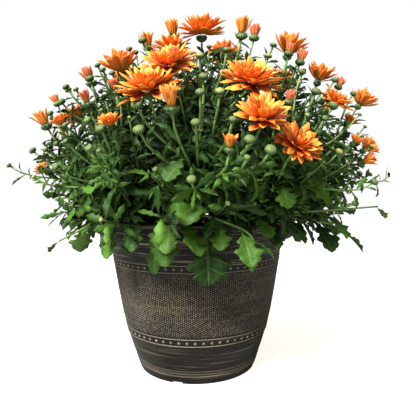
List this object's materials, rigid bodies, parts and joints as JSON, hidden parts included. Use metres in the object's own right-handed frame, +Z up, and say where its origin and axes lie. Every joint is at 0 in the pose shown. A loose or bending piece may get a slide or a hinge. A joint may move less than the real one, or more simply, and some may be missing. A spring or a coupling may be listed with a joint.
{
  "type": "pot chrysanthemum",
  "caption": "Dome of orange chrysanthemum blooms, buds and cut leaves in a dark bronze-look flower pot with a woven relief.",
  "frame": {"origin": "middle of the pot's flat underside, on the surface it stands on", "axes": "+Z up along the pot's axis; the side shown in the picture faces -Y"},
  "size_m": [0.4242, 0.4347, 0.4077],
  "materials": {
    "pot": "moulded plastic, dark brown with rubbed bronze highlights",
    "soil": "damp bark and peat compost",
    "leaves": "living leaves and stems, soft sheen",
    "petals": "soft matte petals"
  },
  "bodies": {
    "root": {"pot": "pot", "soil": "soil", "leafy_stem_01": "leaves", "leafy_stem_02": "leaves", "leafy_stem_03": "leaves", "leafy_stem_04": "leaves", "leafy_stem_05": "leaves", "leafy_stem_06": "leaves", "leafy_stem_07": "leaves", "leafy_stem_08": "leaves", "leafy_stem_09": "leaves", "leafy_stem_10": "leaves", "leafy_stem_11": "leaves", "leafy_stem_12": "leaves", "leafy_stem_13": "leaves", "leafy_stem_14": "leaves", "leafy_stem_15": "leaves", "leafy_stem_16": "leaves", "bloom_01": "petals", "bloom_02": "petals", "bloom_03": "petals", "bloom_04": "petals", "bloom_05": "petals", "bloom_06": "petals", "bloom_07": "petals", "bloom_08": "petals", "bloom_09": "petals", "bloom_10": "petals", "bloom_11": "petals", "bloom_12": "petals", "bloom_13": "petals", "bloom_14": "petals", "bloom_15": "petals", "bloom_16": "petals", "bloom_17": "petals", "bloom_18": "petals", "bloom_19": "petals", "bloom_20": "petals", "bloom_21": "petals", "bloom_22": "petals", "bloom_23": "petals", "bloom_24": "petals", "bloom_25": "petals", "bloom_26": "petals", "bloom_27": "petals", "bloom_28": "petals", "bloom_29": "petals", "bloom_30": "petals", "bloom_31": "petals", "bloom_32": "petals", "bloom_33": "petals", "bloom_34": "petals", "bloom_35": "petals", "bloom_36": "petals", "bloom_37": "petals", "bloom_38": "petals", "bloom_39": "petals", "bloom_40": "petals", "bloom_41": "petals", "bloom_42": "petals"}
  },
  "joints": []
}
